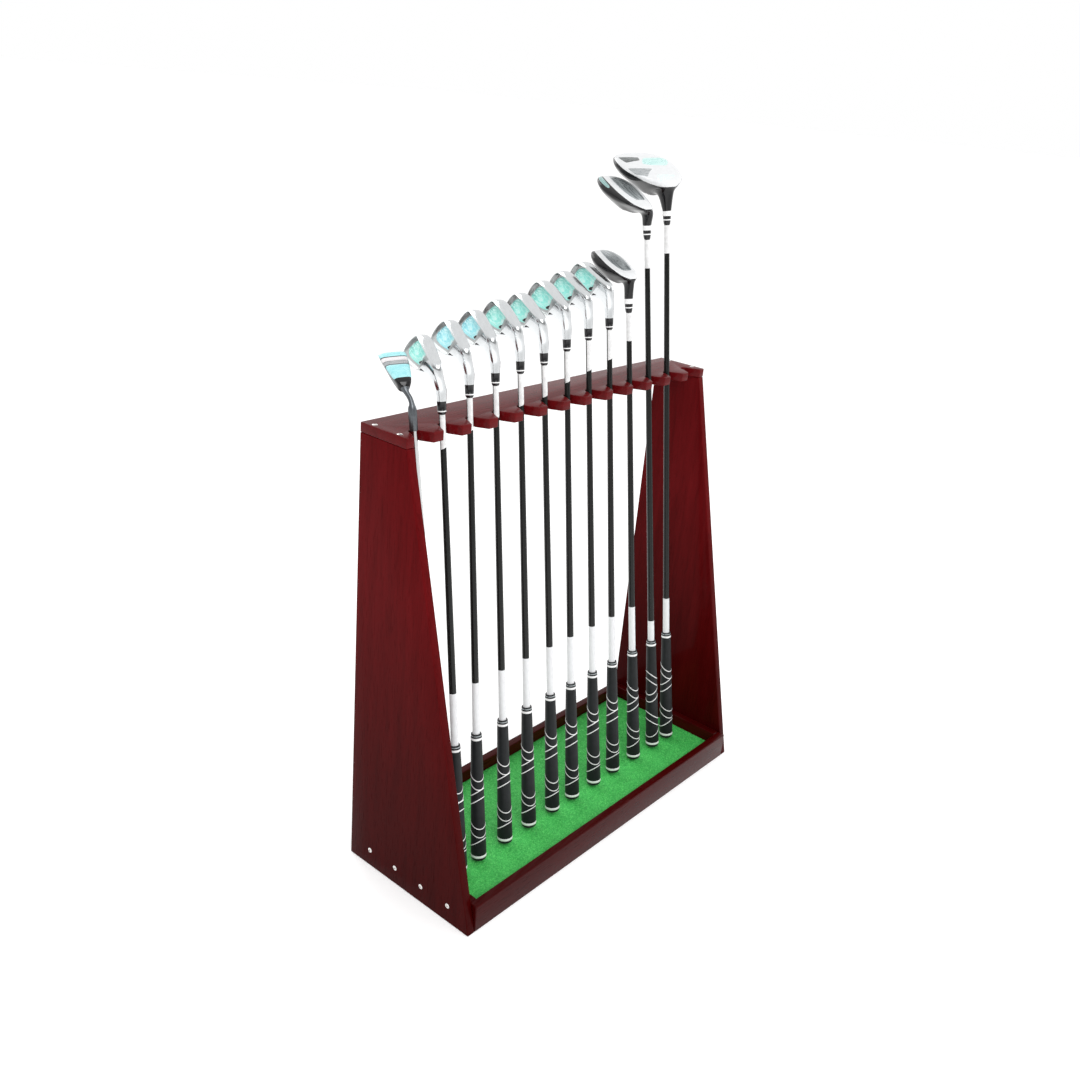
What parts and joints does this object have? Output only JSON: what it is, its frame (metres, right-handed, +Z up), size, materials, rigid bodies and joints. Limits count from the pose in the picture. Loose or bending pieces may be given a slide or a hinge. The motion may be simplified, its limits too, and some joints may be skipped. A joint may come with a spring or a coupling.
{
  "type": "golf club set",
  "caption": "Golf clubs standing grip down in a lacquered wooden floor rack with a turf base; each club tips forward out of its notch.",
  "frame": {"origin": "middle of the rack's underside, on the floor", "axes": "+X along the rack from its left end (putter) to its right end, +Y to the rack's back, +Z up"},
  "size_m": [0.792, 0.369, 1.1864],
  "materials": {
    "lacquer": "gloss",
    "plywood": "matte",
    "turf": "matte",
    "screw_steel": "satin",
    "iron_steel": "polished",
    "putter_steel": "satin",
    "hybrid_paint": "gloss",
    "fairway_paint": "gloss",
    "driver_paint": "gloss",
    "shaft_black": "gloss",
    "grip_rubber": "matte"
  },
  "bodies": {
    "rack": {"left_side_panel": "lacquer", "right_side_panel": "lacquer", "top_slot_board": "lacquer", "front_rail": "lacquer", "back_rail": "lacquer", "left_end_rail": "lacquer", "right_end_rail": "lacquer", "base_board": "plywood", "turf_mat": "turf", "left_panel_screw_1": "screw_steel", "left_panel_screw_2": "screw_steel", "left_panel_screw_3": "screw_steel", "left_panel_screw_4": "screw_steel", "right_panel_screw_1": "screw_steel", "right_panel_screw_2": "screw_steel", "right_panel_screw_3": "screw_steel", "right_panel_screw_4": "screw_steel", "top_board_screw_left_1": "screw_steel", "top_board_screw_left_2": "screw_steel", "top_board_screw_right_1": "screw_steel", "top_board_screw_right_2": "screw_steel"},
    "putter": {"putter_head": "putter_steel", "putter_shaft": "shaft_black", "putter_grip": "grip_rubber"},
    "sand_wedge": {"sand_wedge_head": "iron_steel", "sand_wedge_shaft": "shaft_black", "sand_wedge_grip": "grip_rubber"},
    "pitching_wedge": {"pitching_wedge_head": "iron_steel", "pitching_wedge_shaft": "shaft_black", "pitching_wedge_grip": "grip_rubber"},
    "iron_9": {"iron_9_head": "iron_steel", "iron_9_shaft": "shaft_black", "iron_9_grip": "grip_rubber"},
    "iron_8": {"iron_8_head": "iron_steel", "iron_8_shaft": "shaft_black", "iron_8_grip": "grip_rubber"},
    "iron_7": {"iron_7_head": "iron_steel", "iron_7_shaft": "shaft_black", "iron_7_grip": "grip_rubber"},
    "iron_6": {"iron_6_head": "iron_steel", "iron_6_shaft": "shaft_black", "iron_6_grip": "grip_rubber"},
    "iron_5": {"iron_5_head": "iron_steel", "iron_5_shaft": "shaft_black", "iron_5_grip": "grip_rubber"},
    "iron_4": {"iron_4_head": "iron_steel", "iron_4_shaft": "shaft_black", "iron_4_grip": "grip_rubber"},
    "hybrid": {"hybrid_head": "hybrid_paint", "hybrid_shaft": "shaft_black", "hybrid_grip": "grip_rubber"},
    "fairway_wood": {"fairway_wood_head": "fairway_paint", "fairway_wood_shaft": "shaft_black", "fairway_wood_grip": "grip_rubber"},
    "driver": {"driver_head": "driver_paint", "driver_shaft": "shaft_black", "driver_grip": "grip_rubber"}
  },
  "joints": [
    {"name": "putter_tilt", "type": "hinge", "parent": "rack", "child": "putter", "pos_m": [-0.347, -0.0465, 0.0453], "axis": [1, 0, 0], "range_deg": [0, 25]},
    {"name": "sand_wedge_tilt", "type": "hinge", "parent": "rack", "child": "sand_wedge", "pos_m": [-0.318, -0.0465, 0.0453], "axis": [1, 0, 0], "range_deg": [0, 25]},
    {"name": "pitching_wedge_tilt", "type": "hinge", "parent": "rack", "child": "pitching_wedge", "pos_m": [-0.27, -0.0465, 0.0453], "axis": [1, 0, 0], "range_deg": [0, 25]},
    {"name": "iron_9_tilt", "type": "hinge", "parent": "rack", "child": "iron_9", "pos_m": [-0.202, -0.0465, 0.0453], "axis": [1, 0, 0], "range_deg": [0, 25]},
    {"name": "iron_8_tilt", "type": "hinge", "parent": "rack", "child": "iron_8", "pos_m": [-0.137, -0.0465, 0.0453], "axis": [1, 0, 0], "range_deg": [0, 25]},
    {"name": "iron_7_tilt", "type": "hinge", "parent": "rack", "child": "iron_7", "pos_m": [-0.07, -0.0465, 0.0453], "axis": [1, 0, 0], "range_deg": [0, 25]},
    {"name": "iron_6_tilt", "type": "hinge", "parent": "rack", "child": "iron_6", "pos_m": [-0.011, -0.0465, 0.0453], "axis": [1, 0, 0], "range_deg": [0, 25]},
    {"name": "iron_5_tilt", "type": "hinge", "parent": "rack", "child": "iron_5", "pos_m": [0.056, -0.0465, 0.0453], "axis": [1, 0, 0], "range_deg": [0, 25]},
    {"name": "iron_4_tilt", "type": "hinge", "parent": "rack", "child": "iron_4", "pos_m": [0.118, -0.0465, 0.0453], "axis": [1, 0, 0], "range_deg": [0, 25]},
    {"name": "hybrid_tilt", "type": "hinge", "parent": "rack", "child": "hybrid", "pos_m": [0.188, -0.0465, 0.0453], "axis": [1, 0, 0], "range_deg": [0, 25]},
    {"name": "fairway_wood_tilt", "type": "hinge", "parent": "rack", "child": "fairway_wood", "pos_m": [0.255, -0.0465, 0.0453], "axis": [1, 0, 0], "range_deg": [0, 25]},
    {"name": "driver_tilt", "type": "hinge", "parent": "rack", "child": "driver", "pos_m": [0.306, -0.0465, 0.0453], "axis": [1, 0, 0], "range_deg": [0, 25]}
  ]
}
